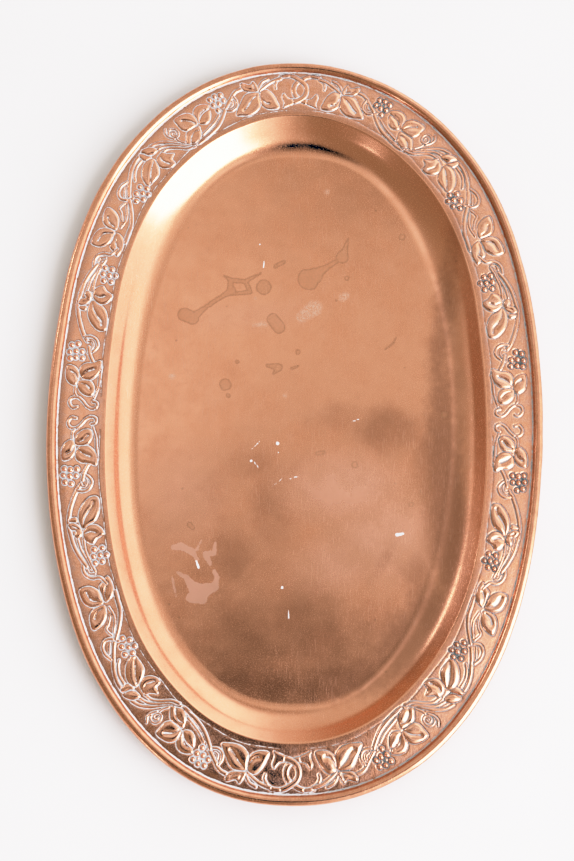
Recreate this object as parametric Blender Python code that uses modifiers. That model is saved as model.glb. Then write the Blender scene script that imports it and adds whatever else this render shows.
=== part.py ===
"""Copper serving tray with a wired edge.

One oval sheet of copper is sunk into a shallow well with a coved wall, and its
edge is rolled around a hoop of round wire that stiffens the rim.

Frame: metres, +Z up, origin at the middle of the underside, long axis along Y.
"""

import math

import bpy
import bmesh
import numpy as np

# Driving dimensions, in metres and degrees
LENGTH = 0.460                # over the rolled edge, along Y
WIDTH = 0.305                 # over the rolled edge, along X
SQUARENESS = 2.21             # exponent of the outline; 2 would be a plain ellipse
SHEET = 0.0009                # thickness of the copper sheet
WIRE_RADIUS = 0.0018          # round wire inside the rolled edge
WIRE_CLEARANCE = 0.00035      # between the wire and the sheet rolled around it
WIRE_BUTT_GAP = 0.0006        # between the two ends of the hoop of wire
ROLL_FOOT_RADIUS = 0.0010     # small hollow bend where the roll meets the border
ROLL_LIFT = 0.0003            # height of the wire's centre above the border
ROLL_END_ANGLE = -156.0       # where the raw edge stops under the rim; -180 is inwards
WELL_INSET = 0.0358           # from the outer edge to the edge of the well
BORDER_DROP = 0.0012          # the border falls this much towards the rim
SHOULDER_RADIUS = 0.0010      # bend from the border into the wall
WALL_ANGLE = 47.0             # slope of the straight part of the wall, under the shoulder
WALL_RUN = 0.0050             # width in plan of that straight part
COVE_RADIUS = 0.0225          # hollow sweep from the straight part down to the floor
FLOOR_MARGIN = 0.0020         # flat ring between the cove and the middle of the floor

# Mesh resolution
STATIONS = 72                 # around the outline
FINE_STEPS_PER_STATION = 60   # samples behind the even spacing of the stations
ROLL_STEPS = 13
FOOT_STEPS = 2
BORDER_STEPS = 2
SHOULDER_STEPS = 3
COVE_STEPS = 6
WIRE_BEVEL_RESOLUTION = 2

# Heights and radii that follow from the driving dimensions, on the sheet's middle
HALF_SHEET = SHEET / 2
ROLL_RADIUS = WIRE_RADIUS + WIRE_CLEARANCE + HALF_SHEET
ROLL_INSET = ROLL_RADIUS + HALF_SHEET
WALL_SLOPE = math.radians(WALL_ANGLE)
SHOULDER_DROP = SHOULDER_RADIUS * (1 - math.cos(WALL_SLOPE))
WALL_DROP = WALL_RUN * math.tan(WALL_SLOPE)
COVE_DROP = COVE_RADIUS * (1 - math.cos(WALL_SLOPE))
WELL_EDGE_HEIGHT = HALF_SHEET + COVE_DROP + WALL_DROP + SHOULDER_DROP
BORDER_HEIGHT = WELL_EDGE_HEIGHT - BORDER_DROP
WIRE_HEIGHT = BORDER_HEIGHT + ROLL_LIFT

COPPER_COLOUR = (0.584, 0.254, 0.138, 1.0)
STEEL_COLOUR = (0.310, 0.300, 0.290, 1.0)
SHARP_ANGLE = math.radians(40)


def clear_scene():
    for old in list(bpy.data.objects):
        bpy.data.objects.remove(old, do_unlink=True)


def metal(name, colour, roughness):
    """Plain metallic material of one colour."""
    material = bpy.data.materials.new(name)
    material.use_nodes = True
    shader = material.node_tree.nodes["Principled BSDF"]
    shader.inputs["Base Color"].default_value = colour
    shader.inputs["Metallic"].default_value = 1.0
    shader.inputs["Roughness"].default_value = roughness
    return material


def outline():
    """Evenly spaced points on the tray's oval outline, with their inward normals."""
    angle = np.linspace(0, 2 * math.pi, STATIONS * FINE_STEPS_PER_STATION + 1)
    power = 2 / SQUARENESS
    x = WIDTH / 2 * np.sign(np.cos(angle)) * np.abs(np.cos(angle)) ** power
    y = LENGTH / 2 * np.sign(np.sin(angle)) * np.abs(np.sin(angle)) ** power
    run = np.concatenate([[0], np.cumsum(np.hypot(np.diff(x), np.diff(y)))])
    even = np.arange(STATIONS) * run[-1] / STATIONS
    points = np.column_stack([np.interp(even, run, x), np.interp(even, run, y)])
    half = np.array([WIDTH / 2, LENGTH / 2])
    slope = np.sign(points) * np.abs(points / half) ** (SQUARENESS - 1) / half
    normals = -slope / np.linalg.norm(slope, axis=1, keepdims=True)
    return points, normals


def arc(centre, radius, start, end, steps):
    """Points on an arc in the (inset, height) plane; 0 degrees points outwards."""
    angles = np.radians(np.linspace(start, end, steps + 1))
    inset = centre[0] - radius * np.cos(angles)
    height = centre[1] + radius * np.sin(angles)
    return list(zip(inset, height))


def sheet_profile():
    """Middle of the sheet, (inset, height), from the raw edge to the floor."""
    wire_centre = (ROLL_INSET, WIRE_HEIGHT)
    rise = ROLL_FOOT_RADIUS - ROLL_LIFT
    reach = ROLL_RADIUS + ROLL_FOOT_RADIUS
    run = math.sqrt(reach ** 2 - rise ** 2)
    lean = math.degrees(math.atan2(rise, run))
    foot_centre = (ROLL_INSET + run, BORDER_HEIGHT + ROLL_FOOT_RADIUS)
    roll = arc(wire_centre, ROLL_RADIUS, ROLL_END_ANGLE, 180 - lean, ROLL_STEPS)
    foot = arc(foot_centre, ROLL_FOOT_RADIUS, -lean, -90, FOOT_STEPS)

    border_start = foot_centre[0]
    border = [
        (
            border_start + (WELL_INSET - border_start) * step / BORDER_STEPS,
            BORDER_HEIGHT + BORDER_DROP * step / BORDER_STEPS,
        )
        for step in range(1, BORDER_STEPS)
    ]

    shoulder_centre = (WELL_INSET, WELL_EDGE_HEIGHT - SHOULDER_RADIUS)
    shoulder = arc(shoulder_centre, SHOULDER_RADIUS, 90, 90 + WALL_ANGLE, SHOULDER_STEPS)
    wall_foot = WELL_INSET + WALL_RUN + (SHOULDER_RADIUS + COVE_RADIUS) * math.sin(WALL_SLOPE)
    cove_centre = (wall_foot, HALF_SHEET + COVE_RADIUS)
    cove = arc(cove_centre, COVE_RADIUS, WALL_ANGLE - 90, -90, COVE_STEPS)
    floor = [(wall_foot + FLOOR_MARGIN, HALF_SHEET)]
    return roll + foot[1:] + border + shoulder + cove + floor


def sheet_surface(points, normals):
    """Open surface through one ring for each point of the profile, floor closed."""
    surface = bmesh.new()
    rings = []
    for inset, height in sheet_profile():
        ring = [surface.verts.new((x, y, height)) for x, y in points + inset * normals]
        rings.append(ring)
    for outer, inner in zip(rings, rings[1:]):
        for here in range(STATIONS):
            after = (here + 1) % STATIONS
            surface.faces.new((outer[here], outer[after], inner[after], inner[here]))
    surface.faces.new(rings[-1])
    return surface


def build_tray_pan(collection, points, normals):
    surface = sheet_surface(points, normals)
    mesh = bpy.data.meshes.new("tray_pan")
    surface.to_mesh(mesh)
    surface.free()
    mesh.shade_smooth()
    mesh.set_sharp_from_angle(angle=SHARP_ANGLE)
    mesh.materials.append(metal("copper", COPPER_COLOUR, 0.28))
    pan = bpy.data.objects.new("tray_pan", mesh)
    collection.objects.link(pan)
    thickness = pan.modifiers.new("sheet_thickness", "SOLIDIFY")
    thickness.thickness = SHEET
    thickness.offset = 0.0
    thickness.use_even_offset = True
    thickness.use_quality_normals = True
    return pan


def wire_route(points, normals):
    """Centre of the wire: every station, with the two ends held apart at station 0."""
    centres = points + ROLL_INSET * normals
    half_gap = WIRE_BUTT_GAP / 2

    def beside_first(neighbour):
        direction = neighbour - centres[0]
        return centres[0] + direction * half_gap / np.linalg.norm(direction)

    route = [beside_first(centres[1]), *centres[1:], beside_first(centres[-1])]
    return [(x, y, WIRE_HEIGHT) for x, y in route]


def build_rim_wire(collection, points, normals):
    route = wire_route(points, normals)
    curve = bpy.data.curves.new("rim_wire", "CURVE")
    curve.dimensions = "3D"
    curve.bevel_depth = WIRE_RADIUS
    curve.bevel_resolution = WIRE_BEVEL_RESOLUTION
    curve.use_fill_caps = True
    spline = curve.splines.new("POLY")
    spline.points.add(len(route) - 1)
    for point, place in zip(spline.points, route):
        point.co = (*place, 1.0)
    spline.use_smooth = True
    curve.materials.append(metal("steel_wire", STEEL_COLOUR, 0.45))
    wire = bpy.data.objects.new("rim_wire", curve)
    collection.objects.link(wire)
    return wire


def main():
    clear_scene()
    collection = bpy.data.collections.new("copper_tray")
    bpy.context.scene.collection.children.link(collection)
    points, normals = outline()
    build_tray_pan(collection, points, normals)
    build_rim_wire(collection, points, normals)


main()
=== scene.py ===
"""Looks of a hammered copper tray: a raised and chased vine on the border, a worn
polish on the well, and chalky polish left in every hollow, with painted light and shade: pale where lit,
dark where deep."""

import math

import bpy
import numpy as np
from mathutils import Matrix, Vector


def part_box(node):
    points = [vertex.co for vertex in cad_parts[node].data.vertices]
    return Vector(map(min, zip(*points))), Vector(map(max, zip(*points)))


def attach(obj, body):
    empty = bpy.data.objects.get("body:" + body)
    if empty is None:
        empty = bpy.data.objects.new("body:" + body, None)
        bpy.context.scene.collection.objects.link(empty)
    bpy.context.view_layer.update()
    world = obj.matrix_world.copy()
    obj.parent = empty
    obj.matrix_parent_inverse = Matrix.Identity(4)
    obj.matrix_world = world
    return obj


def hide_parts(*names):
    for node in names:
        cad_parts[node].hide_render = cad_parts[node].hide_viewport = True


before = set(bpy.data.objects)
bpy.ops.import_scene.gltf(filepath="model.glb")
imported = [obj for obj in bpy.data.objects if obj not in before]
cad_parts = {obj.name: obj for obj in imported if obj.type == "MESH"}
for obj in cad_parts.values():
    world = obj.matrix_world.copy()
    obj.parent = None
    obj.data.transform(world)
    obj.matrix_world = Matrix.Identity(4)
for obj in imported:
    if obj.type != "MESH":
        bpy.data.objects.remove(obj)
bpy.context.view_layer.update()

MM = 0.001
RANDOM = np.random.default_rng(18)

# The frame, in millimetres
pan_low, pan_high = (np.array(corner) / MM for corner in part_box("tray_pan"))
wire_low, wire_high = (np.array(corner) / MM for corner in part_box("rim_wire"))
HALF_SPAN = (pan_high - pan_low)[:2] / 2       # half width and half length
WIRE_HEIGHT = (wire_low[2] + wire_high[2]) / 2
ROLL_OUTSIDE = pan_high[2] - WIRE_HEIGHT       # outer radius of the rolled edge

# The sheet's section, in millimetres and degrees, as the solid pan has it
SQUARENESS = 2.21
SHEET = 0.9
ROLL_LIFT = 0.3
FOOT_RADIUS = 1.0
ROLL_END = -156.0
WELL_INSET = 35.8
BORDER_DROP = 1.2
SHOULDER_RADIUS = 1.0
WALL_ANGLE = 47.0
WALL_RUN = 5.0                 # width in plan of the straight part of the wall
COVE_RADIUS = 22.5

# The chased work, in millimetres
CELL = 0.2                     # grid of the unrolled border
BAND_START = 5.0               # the grid's first and last inset
BAND_END = 35.2
GROOVE_DEPTH = 0.28
GROOVE_REACH = 0.38
FULLNESS = 0.75                # 0.5 would be a round edge, more is softer
LEAF_HEIGHT = 0.95
LEAF_SHOULDER = 3.0
VINE_HEIGHT = 0.5
VINE_SHOULDER = 1.0
BERRY_RADIUS = 1.9
BERRY_HEIGHT = 1.25
BERRY_PIT = 0.4
PIT_MARGIN = 0.35
INSET_STRETCH = 1.045           # from the drawing of the band to its place on the border
INSET_SHIFT = 0.7
GUIDE_LINE_INSET = 30.4
HAND_SHIFT = 0.35              # how far each motif strays from its twin in the next quarter

# Mesh stations around the outline
FINE = 3072
COARSE = 1024


# ---------------------------------------------------------------- outline

def outline_samples():
    """Dense points of the oval, clockwise from the far end, with arc length."""
    turn = math.pi / 2 - np.linspace(0, 2 * math.pi, 40001)
    power = 2 / SQUARENESS
    x = HALF_SPAN[0] * np.sign(np.cos(turn)) * np.abs(np.cos(turn)) ** power
    y = HALF_SPAN[1] * np.sign(np.sin(turn)) * np.abs(np.sin(turn)) ** power
    run = np.concatenate([[0], np.cumsum(np.hypot(np.diff(x), np.diff(y)))])
    return x, y, run


OUTLINE_X, OUTLINE_Y, OUTLINE_RUN = outline_samples()
GIRTH = OUTLINE_RUN[-1]
QUARTER = GIRTH / 4


def outline(stations):
    """Arc positions, points and inward normals of evenly spaced stations."""
    run = np.arange(stations) * GIRTH / stations
    points = np.column_stack([
        np.interp(run, OUTLINE_RUN, OUTLINE_X),
        np.interp(run, OUTLINE_RUN, OUTLINE_Y),
    ])
    slope = np.sign(points) * np.abs(points / HALF_SPAN) ** (SQUARENESS - 1) / HALF_SPAN
    return run, points, -slope / np.linalg.norm(slope, axis=1, keepdims=True)


def smoothstep(low, high, value):
    t = np.clip((value - low) / (high - low), 0, 1)
    return t * t * (3 - 2 * t)


def around(run, values):
    """Smooth periodic curve around the rim through evenly spaced values."""
    count = len(values)
    place = np.asarray(run) / GIRTH * count
    first = np.floor(place).astype(int)
    t = place - first
    before, here, after, beyond = (np.take(values, first + k, mode="wrap") for k in (-1, 0, 1, 2))
    return 0.5 * (2 * here + (after - before) * t
                  + (2 * before - 5 * here + 4 * after - beyond) * t ** 2
                  + (3 * here - before - 3 * after + beyond) * t ** 3)


# How far inwards the rim, the well's edge and the wall's foot wander, in millimetres, at even
# steps clockwise from the far end; the first two follow the real tray, the third is given
RIM_SWAY = np.array([0.1, 1.4, 0.4, -1.0, -0.6, 0.1, 0.3, 1.2, 1.1, 0.6, 0.5, 0.6,
                     0.1, 0.2, 0.7, 0.7, 1.3, 1.1, 0.9, 1.8, 0.7, 0.3, 1.0, 0.9])
WELL_SWAY = np.array([-0.4, 1.1, 0.4, -1.8, -2.0, -0.4, -0.7, -1.3, -2.2, -1.1, 1.0, 1.0,
                      -0.3, 0.2, 0.2, -1.0, -0.6, -0.1, 0.3, 0.3, -1.3, -1.6, 0.6, 1.7])
COVE_SWAY = np.array([1.5, 0.6, 0.4, -0.5, 1.0, 0.8, 0.4, 0.2, -1.5, -3.0, -1.5, 0.5, 1.0])
# how far the lower end of the wall's straight part wanders; more makes a gentler wall
WALL_SWAY = np.array([0.4, 0.2, 0.0, 0.0, 0.0, 0.1, 0.3, 0.5, 0.65, 0.7, 0.65, 0.5])
ROLL_DENTS = RANDOM.uniform(-0.22, 0.0, 90)


def ripple(points, seed, reach, waves=9):
    """Smooth wavy field over the plan, between -1 and 1, with waves about reach long."""
    draw = np.random.default_rng(seed)
    total = np.zeros(len(points))
    for _ in range(waves):
        heading = draw.uniform(0, 2 * math.pi)
        pitch = 2 * math.pi / (reach * draw.uniform(0.6, 1.6))
        phase = draw.uniform(0, 2 * math.pi)
        along = points[:, 0] * math.cos(heading) + points[:, 1] * math.sin(heading)
        total += np.sin(along * pitch + phase)
    return total / math.sqrt(waves) / 1.6


# ---------------------------------------------------------------- chased border

def spline(points, steps=5):
    """Catmull-Rom curve through points; any further columns are carried along."""
    points = np.asarray(points, float)
    padded = np.vstack([2 * points[0] - points[1], points, 2 * points[-1] - points[-2]])
    t = np.linspace(0, 1, steps, endpoint=False)[:, None]
    parts = []
    for a, b, c, d in zip(padded, padded[1:], padded[2:], padded[3:]):
        parts.append(0.5 * (2 * b + (c - a) * t + (2 * a - 5 * b + 4 * c - d) * t ** 2
                            + (3 * b - a - 3 * c + d) * t ** 3))
    return np.vstack(parts + [points[-1:]])


def closed_spline(points, steps=4):
    points = np.asarray(points, float)
    wrapped = np.vstack([points[-1:], points, points[:2]])
    curve = spline(wrapped, steps)
    return curve[steps:steps * (len(points) + 1)]


def spiral(centre, start_radius, end_radius, start_angle, turns, points=14):
    """Points of a curl, from its eye outwards; positive turns run from +u to +v."""
    t = np.linspace(0, 1, points)
    angle = math.radians(start_angle) + 2 * math.pi * turns * t
    radius = start_radius + (end_radius - start_radius) * t
    return np.column_stack([centre[0] + radius * np.cos(angle), centre[1] + radius * np.sin(angle)])


class Relief:
    """The unrolled border: columns run clockwise around the rim, rows run inwards."""

    def __init__(self):
        self.columns = round(GIRTH / CELL)
        self.pitch = GIRTH / self.columns
        self.rows = round((BAND_END - BAND_START) / CELL) + 1
        shape = (self.rows, self.columns)
        self.height = np.zeros(shape)
        self.dirt = np.zeros(shape)
        self.ground = np.ones(shape)

    def patch(self, path, margin):
        """Index and coordinates of the cells within margin of a path."""
        low = path[:, :2].min(axis=0) - margin
        high = path[:, :2].max(axis=0) + margin
        columns = np.arange(math.floor(low[0] / self.pitch), math.ceil(high[0] / self.pitch))
        first = max(0, math.floor((low[1] - BAND_START) / CELL))
        last = min(self.rows, math.ceil((high[1] - BAND_START) / CELL))
        rows = np.arange(first, last)
        u, v = np.meshgrid(columns * self.pitch, BAND_START + rows * CELL)
        return np.ix_(rows, columns % self.columns), u, v

    def form(self, cells, clear, height, shoulder, reach=GROOVE_REACH, depth=GROOVE_DEPTH, floor=0.0):
        """Raise a rounded form where clear < 0, over what lies there, and chase its edge."""
        inside = clear < 0
        t = np.clip(-clear / shoulder, 0, 1)
        dome = floor + height * (t * (2 - t)) ** FULLNESS
        groove = np.exp(-(clear / reach) ** 2)
        self.height[cells] = np.where(inside, dome, self.height[cells]) - depth * groove
        self.dirt[cells] = np.maximum(np.where(inside, 0, self.dirt[cells]), groove)
        self.ground[cells] = np.where(inside, 0, self.ground[cells])

    def furrow(self, cells, clear, reach, depth, dirt=1.0):
        """Chase a line into whatever is there."""
        groove = np.exp(-(np.maximum(clear, 0) / reach) ** 2)
        self.height[cells] -= depth * groove
        self.dirt[cells] = np.maximum(self.dirt[cells], dirt * groove)

    def at(self, run, inset):
        """Height, dirt and ground read at arc positions on one inset."""
        place = np.asarray(run) / self.pitch
        column = np.floor(place).astype(int)
        s = place - column
        row_place = np.clip((inset - BAND_START) / CELL, 0, self.rows - 1.001)
        row = np.floor(row_place).astype(int)
        t = row_place - row
        here, after = column % self.columns, (column + 1) % self.columns
        read = []
        for field in (self.height, self.dirt, self.ground):
            upper = field[row, here] * (1 - s) + field[row, after] * s
            lower = field[row + 1, here] * (1 - s) + field[row + 1, after] * s
            read.append(upper * (1 - t) + lower * t)
        return read


def clearance(u, v, path):
    """Distance to a path less its half width, which is the path's third column."""
    best = np.full(u.shape, np.inf)
    for (au, av, aw), (bu, bv, bw) in zip(path, path[1:]):
        eu, ev = bu - au, bv - av
        t = np.clip(((u - au) * eu + (v - av) * ev) / max(eu * eu + ev * ev, 1e-9), 0, 1)
        gap = np.hypot(u - au - t * eu, v - av - t * ev) - (aw + t * (bw - aw))
        best = np.minimum(best, gap)
    return best


def inside_outline(u, v, path):
    odd = np.zeros(u.shape, bool)
    for (au, av), (bu, bv) in zip(path[:, :2], np.roll(path[:, :2], -1, axis=0)):
        if av != bv:
            odd ^= ((av > v) != (bv > v)) & (u < (bu - au) * (v - av) / (bv - av) + au)
    return odd


class Quarter:
    """Draws motifs given as (along, inset) from an end of the tray to its side."""

    def __init__(self, relief, start, direction, boldness):
        self.relief = relief
        self.start = start
        self.direction = direction
        self.boldness = boldness
        self.stray = np.zeros(2)

    def move(self):
        """A fresh small error of the hand for the next motif."""
        self.stray = RANDOM.uniform(-HAND_SHIFT, HAND_SHIFT, 2)

    def place(self, path):
        placed = np.array(path, float)
        placed[:, 0] = self.start + self.direction * (placed[:, 0] + self.stray[0])
        placed[:, 1] = placed[:, 1] * INSET_STRETCH + INSET_SHIFT + self.stray[1]
        return placed

    def band(self, points, width=2.2, end_width=None, height=VINE_HEIGHT):
        points = np.asarray(points, float)
        halves = np.linspace(width, end_width or width, len(points)) / 2
        path = self.place(spline(np.column_stack([points, halves])))
        cells, u, v = self.relief.patch(path, 3)
        self.relief.form(cells, clearance(u, v, path), height, VINE_SHOULDER)

    def lobe(self, points, height=LEAF_HEIGHT, shoulder=LEAF_SHOULDER):
        path = self.place(closed_spline(points))
        cells, u, v = self.relief.patch(path, 2.5)
        loop = np.column_stack([np.vstack([path, path[:1]]), np.zeros(len(path) + 1)])
        distance = clearance(u, v, loop)
        clear = np.where(inside_outline(u, v, path), -distance, distance)
        self.relief.form(cells, clear, height * self.boldness, shoulder)

    def vein(self, points, width=0.5, end_width=1.6, depth=0.36):
        """A furrow that widens as it runs, with soft sides."""
        points = np.asarray(points, float)
        halves = np.linspace(width, end_width, len(points)) / 4
        path = self.place(spline(np.column_stack([points, halves])))
        cells, u, v = self.relief.patch(path, 4)
        clear = clearance(u, v, path)
        self.relief.furrow(cells, clear, 0.42, depth * self.boldness, 0.72)
        valley = 0.42 * self.boldness
        self.relief.height[cells] -= valley * np.exp(-(np.maximum(clear, 0) / 1.6) ** 2)

    def line(self, points, depth=0.22, reach=0.36):
        path = self.place(spline(np.column_stack([points, np.zeros(len(points))])))
        cells, u, v = self.relief.patch(path, 2)
        self.relief.furrow(cells, clearance(u, v, path), reach, depth)

    def grapes(self, centre, offsets):
        """Berries standing in a common sunken ground."""
        centres = self.place(np.add(centre, offsets))
        pit = np.column_stack([centres, np.full(len(centres), 0.4)])
        order = np.argsort(centres[:, 0])
        cells, u, v = self.relief.patch(centres, 5)
        clear = clearance(u, v, pit[order])
        for berry_u, berry_v in centres:
            clear = np.minimum(clear, np.hypot(u - berry_u, v - berry_v) - BERRY_RADIUS - PIT_MARGIN)
        sunk = smoothstep(0.5, -0.4, clear)
        self.relief.height[cells] = self.relief.height[cells] * (1 - sunk) - BERRY_PIT * sunk
        self.relief.dirt[cells] = np.maximum(self.relief.dirt[cells], 1.4 * sunk)
        self.relief.ground[cells] *= 1 - sunk
        for berry_u, berry_v in centres:
            size = BERRY_RADIUS * RANDOM.uniform(0.9, 1.08)
            distance = np.hypot(u - berry_u, v - berry_v)
            self.relief.form(cells, distance - size, BERRY_HEIGHT + BERRY_PIT, size * 0.9,
                             reach=0.3, depth=0.12, floor=-BERRY_PIT)


def end_scroll(q):
    """Big C scroll at the end of the tray, with a hooked arm and a fishtail."""
    q.move()
    q.band([(13, 8), (9, 7.6), (4.4, 8.6), (0.4, 10.8), (-3, 13.4), (-4.4, 17), (-3.6, 20.6),
            (-1, 23.3), (3, 24.9), (7, 25.0)], 2.9, 3.6)
    q.band([(8, 7.8), (12.6, 8.4), (16, 10.6), (17.7, 13.3), (17.4, 15.6)], 2.6, 1.8)
    q.lobe([(5.5, 23.6), (8.6, 22.6), (11.8, 19.2), (13.6, 21.4), (12.6, 24.8), (12.4, 26.6),
            (13.4, 29.2), (9, 28.2), (5, 26.8)], 0.5, 1.2)


def leaf_one(q):
    q.move()
    q.band([(13.6, 9.2), (18.5, 10.2), (23.5, 12.2), (29.5, 15.4)], 2.6, 2.0)
    q.band([(22.5, 8.6), (27, 10.2), (31, 14.6)], 2.2, 1.8)
    q.band([(41, 11.2), (47.5, 12.0), (52.5, 15.2), (58, 18.6), (62, 21.2)], 2.4, 2.4)
    q.lobe([(30.6, 15.4), (31, 11.4), (33, 8.2), (35.2, 9.6), (37, 9.6), (41.2, 7.4), (42.6, 9.6),
            (41.2, 12.8), (37.4, 14.6)])
    q.lobe([(31, 16.4), (36, 15.2), (41.6, 15.6), (46.5, 19.4), (53.6, 25.6), (48.5, 27.8),
            (42.5, 28.8), (36.5, 28.2), (31.4, 25), (30.6, 20)])
    q.lobe([(30, 17), (27, 15.2), (23.6, 15.6), (20, 19), (17.6, 23.4), (16.2, 28.4), (21.6, 29),
            (27, 27.6), (30.6, 24)])
    q.vein([(32.5, 17.6), (37.4, 20), (41.4, 22.8), (45.4, 24.6)], 0.4, 2.2)
    q.vein([(29.4, 18.8), (28.8, 21.6), (26.4, 24.2), (23.8, 25)], 0.4, 1.6)
    q.vein([(33, 14), (37, 12.8), (39.6, 11)], 0.3, 0.9)
    q.vein([(33.2, 13), (33.6, 10.4)], 0.3, 0.9)


def loop_one(q):
    q.move()
    q.band([(49.8, 14.6), (48.8, 18), (50.4, 21), (54.4, 22.3), (58.6, 21.2), (61.6, 19.4)], 1.7)
    q.band([(52.2, 17), (53, 19.2), (55.6, 19.8)], 1.5, 1.1)
    q.grapes((62.4, 14.2), [(-4, -3.6), (0, -4.4), (4.2, -3.8), (-4.6, 0.3), (-0.4, 0.9),
                            (3.9, 0.3), (2.6, 4.4)])


def leaf_two(q):
    q.move()
    q.band([(60, 20.6), (65, 24.2), (71, 27.2), (78, 29), (86, 30), (93, 30), (99.5, 28)], 2.4, 3)
    q.band([(66, 21.6), (72, 24.4), (78, 26), (86, 27.4)], 1.4, 1.8)
    q.lobe([(69.4, 14.6), (72, 11.2), (77, 10), (81, 11.6), (83.6, 15.6), (83.4, 20)])
    q.lobe([(70.2, 16.2), (76, 16), (81.4, 18.6), (82.6, 21), (78, 23), (73, 21)])
    q.lobe([(83.6, 19.4), (82.4, 14.4), (85, 10.6), (90, 8.8), (95.6, 8.8), (96.4, 13), (96.4, 17),
            (93.6, 20), (88, 20.4)])
    q.lobe([(84.4, 21), (90, 20.4), (95, 20.2), (99, 23.2), (102.6, 27.4), (98, 29), (92, 29.2),
            (87.4, 27.2), (85, 24.2)])
    q.vein([(73.6, 14.6), (77.4, 15.2), (80.4, 17.8)], 0.4, 0.9)
    q.vein([(85.4, 19), (87.6, 15.6), (91.8, 12.4)], 0.6, 1.7)
    q.vein([(86.6, 23.6), (90.6, 23), (95, 24.6), (98, 27)], 0.4, 1.2)


def curl_two(q):
    q.move()
    q.band(spiral((102.6, 15.2), 0.9, 4.2, 150, 1.55), 1.3)
    q.band([(104.2, 18.8), (103.8, 21), (101.8, 24.4)], 1.5)
    q.band([(104.6, 9), (107, 11.4), (107, 14.6), (105.4, 17.6)], 1.5)
    q.band([(96, 29.4), (102, 26.4), (106.5, 21.4), (110.6, 16.4), (115.6, 12.2), (121, 10)], 2.2)
    q.band([(100, 28.6), (105, 24.8), (109.6, 20), (113.6, 16.8), (119, 14.8)], 2.2, 1.8)
    q.band([(98, 29.8), (104, 27.6), (109, 23), (113.6, 19.6), (119, 18.4)], 2.2, 1.8)


def leaf_three(q):
    q.move()
    q.band([(129, 9.4), (135, 9.2), (141.5, 10.6), (147, 12.8), (153, 15.6), (158.4, 18.6),
            (163, 21.8)], 2.4, 2.6)
    q.band([(132, 12), (138.5, 12.2), (143.6, 14.2), (146.8, 16.6)], 1.9)
    q.lobe([(120, 16), (119.6, 12.6), (122.4, 9.4), (126.6, 7.8), (128.4, 10.6), (126.6, 14.6)])
    q.lobe([(126, 15.6), (128, 9.4), (130.4, 8.6), (131.6, 12.6), (130, 16)], 0.9)
    q.lobe([(119, 18.4), (117, 21.6), (113.4, 25), (117.6, 26.6), (118.8, 30), (123, 30.2),
            (127, 27.6), (128.6, 23.6), (125.6, 19)])
    q.lobe([(126.4, 16.6), (132, 14.4), (138, 16.2), (143, 20), (145.6, 25.8), (141, 27.2),
            (134, 27.2), (129.6, 24.4), (127, 20.4)])
    q.vein([(127.6, 18.4), (133, 20.6), (138, 23.2), (142.4, 25.6)], 0.5, 2.0)
    q.vein([(122.4, 20.2), (123.6, 23.2), (122.2, 27.4)], 0.5, 1.5)
    q.vein([(124.6, 15), (127, 12.6), (127, 9.8)], 0.4, 0.9)


def grapes_two(q):
    q.move()
    q.band([(149.6, 12.4), (154, 10.6), (158.6, 10.8), (161.8, 13.6), (161.4, 17.4), (158, 21.6)], 1.9)
    q.band([(153.4, 12.9), (157, 14.6), (160, 16.2)], 1.2)
    q.grapes((151.6, 25), [(-3.2, -3.6), (2.2, -3.4), (-4.7, 0.8), (-0.2, 0.2), (7.2, -0.8),
                           (-1.2, 3.8), (3.8, 2.6)])


def leaf_four(q):
    q.move()
    q.band([(160.5, 20), (165, 23.4), (170.6, 26.6), (177, 28.8), (184, 29.2), (190, 29.4)], 2.3, 2.8)
    q.band([(165, 20.4), (170, 23), (175.6, 24.2), (181.6, 23)], 1.5)
    q.band([(163.4, 18.8), (168.6, 16.8), (171.6, 19.6), (176, 22)], 1.4)
    q.lobe([(184, 20.6), (178.6, 20.6), (174.4, 18.4), (171.6, 14), (171.2, 9.2), (176.6, 8.8),
            (181.6, 10.6), (184, 14.4)])
    q.lobe([(185, 20.2), (184.6, 14), (187.6, 9.6), (192.6, 8), (197.6, 8.2), (198.8, 11.6),
            (197.8, 15.8), (194, 19.6), (189, 20.2)])
    q.lobe([(185.4, 21.6), (191, 20.8), (196, 20.4), (198.6, 23.4), (201.6, 27.4), (196.6, 29.2),
            (190.6, 28.8), (186.8, 26.2)])
    q.vein([(182.2, 18.6), (180.8, 14.8), (177.6, 12.4)], 0.5, 1.5)
    q.vein([(186.8, 19.4), (188.4, 15), (191.2, 12.8), (194.8, 12)], 0.5, 1.6)
    q.vein([(187.4, 22.6), (191, 22.8), (195, 25)], 0.5, 1.2)


def loop_four(q):
    q.move()
    q.band([(196.6, 25.6), (201.4, 22.4), (202.2, 17.8), (204.6, 14.6), (208.4, 13.2),
            (212.8, 14)], 2.0)
    q.band([(204.6, 20), (205.6, 16.6), (208.4, 15.8)], 1.4)
    q.band([(210.6, 15.8), (216.6, 13), (224, 10.6), (231, 9.6), (238, 9.2), (245, 10.4),
            (252, 12.8), (258.4, 15.8), (262.6, 18.8)], 2.4, 2.6)
    q.band([(208.5, 18.4), (215, 16.6), (221.6, 14.2), (228.4, 13.4)], 2.0, 1.6)
    q.band([(206, 20.4), (213, 18.4), (221, 16.8), (229, 17.2)], 1.8, 1.6)
    q.grapes((215.8, 24.8), [(-4.4, -3.4), (0, -3.6), (4.4, -2.4), (0, 0.6), (-4.4, 1.2),
                             (-0.8, 4.4), (4.2, 2.6)])


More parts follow.
